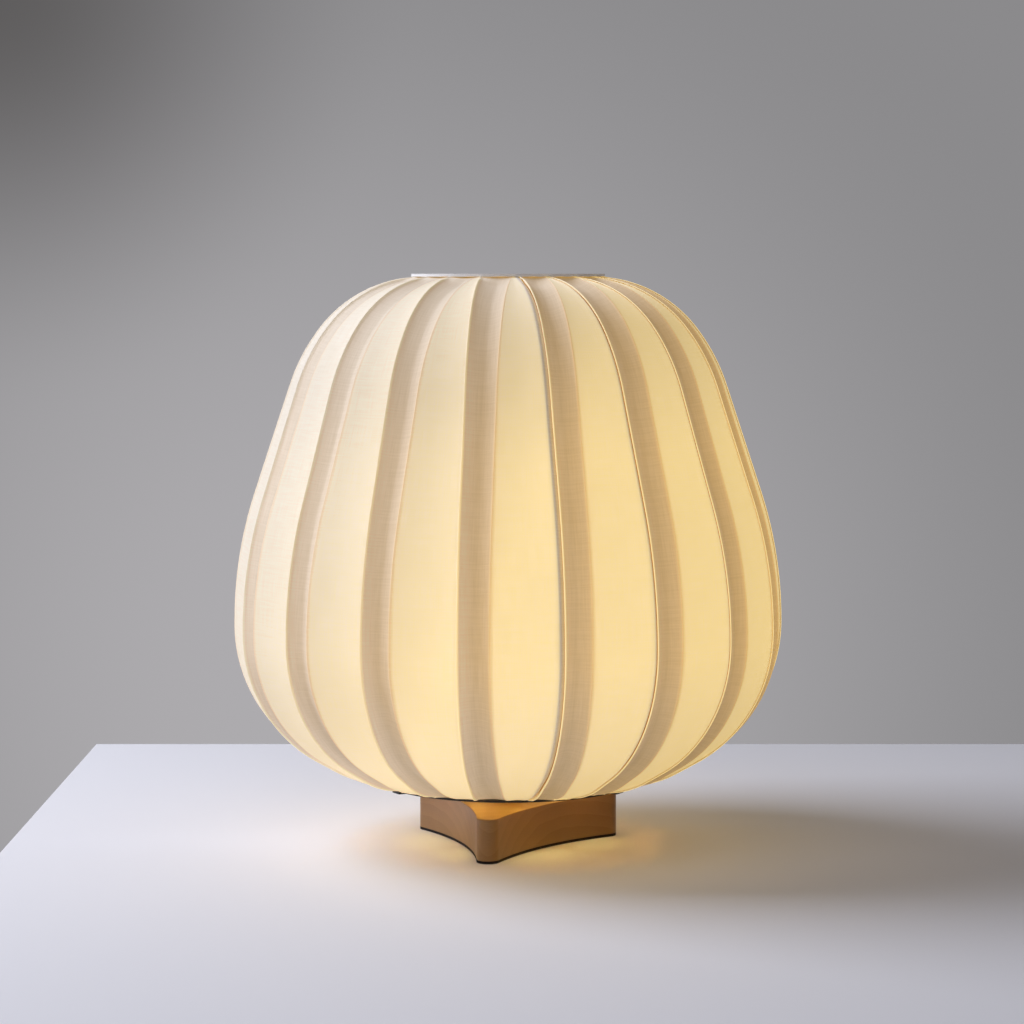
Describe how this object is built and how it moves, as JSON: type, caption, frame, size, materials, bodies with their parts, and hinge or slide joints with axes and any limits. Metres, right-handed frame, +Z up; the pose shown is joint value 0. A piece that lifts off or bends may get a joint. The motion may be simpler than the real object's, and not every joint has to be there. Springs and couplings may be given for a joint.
{
  "type": "bamboo table lamp",
  "caption": "Table lamp with a belly-shaped cloth shade on bent bamboo ribs that lifts off a three-pointed wooden base with a screw-in bulb.",
  "frame": {"origin": "on the table under the middle of the lamp, where the axis of the shade meets the underside of the pad", "axes": "+Z up along the axis of the lamp, -Y towards the camera of the picture, +X to its right"},
  "size_m": [0.4012, 0.4006, 0.4181],
  "materials": {
    "cherry_wood": "oiled brown hardwood, turned grain, crisp edges",
    "pad_felt": "black felt pad",
    "bare_steel": "rolled steel",
    "zinc_steel": "zinc plated steel",
    "black_rubber": "moulded rubber",
    "black_steel": "satin black powder coat",
    "holder_plastic": "moulded thermoset",
    "core_ceramic": "glazed ceramic",
    "contact_brass": "bare brass",
    "nickel_plate": "nickel plated brass",
    "bulb_glass_foot": "black insulator with a contact",
    "bulb_plastic": "white moulded housing",
    "board_white": "white coated aluminium board",
    "globe_opal": "opal diffuser, lit warm white",
    "white_ring": "off-white lacquer",
    "bamboo": "split bamboo slat, smoothed",
    "shade_cloth": "cream slubbed cotton, translucent"
  },
  "bodies": {
    "base": {"base_pad": "pad_felt", "wood_base": "cherry_wood", "base_weight": "bare_steel", "weight_screws": "zinc_steel", "cord_bush": "black_rubber", "nipple": "zinc_steel", "nipple_washer": "zinc_steel", "nipple_nut": "zinc_steel", "stem_collar": "black_steel", "shade_carrier": "black_steel", "holder_cap": "holder_plastic", "holder_sleeve": "holder_plastic", "holder_core": "core_ceramic", "screw_shell": "contact_brass", "contact_leaf": "contact_brass", "terminal_screws": "contact_brass"},
    "bulb": {"bulb_cap": "nickel_plate", "bulb_foot": "bulb_glass_foot", "bulb_body": "bulb_plastic", "led_board": "board_white", "bulb_globe": "globe_opal"},
    "shade": {"top_ring": "white_ring", "bottom_ring": "black_steel", "rib_01": "bamboo", "rib_02": "bamboo", "rib_03": "bamboo", "rib_04": "bamboo", "rib_05": "bamboo", "rib_06": "bamboo", "rib_07": "bamboo", "rib_08": "bamboo", "rib_09": "bamboo", "rib_10": "bamboo", "rib_11": "bamboo", "rib_12": "bamboo", "rib_13": "bamboo", "rib_14": "bamboo", "rib_15": "bamboo", "rib_16": "bamboo", "rib_17": "bamboo", "rib_18": "bamboo", "gore_01": "shade_cloth", "gore_02": "shade_cloth", "gore_03": "shade_cloth", "gore_04": "shade_cloth", "gore_05": "shade_cloth", "gore_06": "shade_cloth", "gore_07": "shade_cloth", "gore_08": "shade_cloth", "gore_09": "shade_cloth", "gore_10": "shade_cloth", "gore_11": "shade_cloth", "gore_12": "shade_cloth", "gore_13": "shade_cloth", "gore_14": "shade_cloth", "gore_15": "shade_cloth", "gore_16": "shade_cloth", "gore_17": "shade_cloth", "gore_18": "shade_cloth"}
  },
  "joints": [
    {"name": "shade_lift", "type": "slide", "parent": "base", "child": "shade", "axis": [0, 0, 1], "range_m": [0, 0.2]},
    {"name": "bulb_turn", "type": "hinge", "parent": "base", "child": "bulb", "pos_m": [0, 0, 0.09], "axis": [0, 0, 1], "range_deg": [0, 1260]}
  ]
}
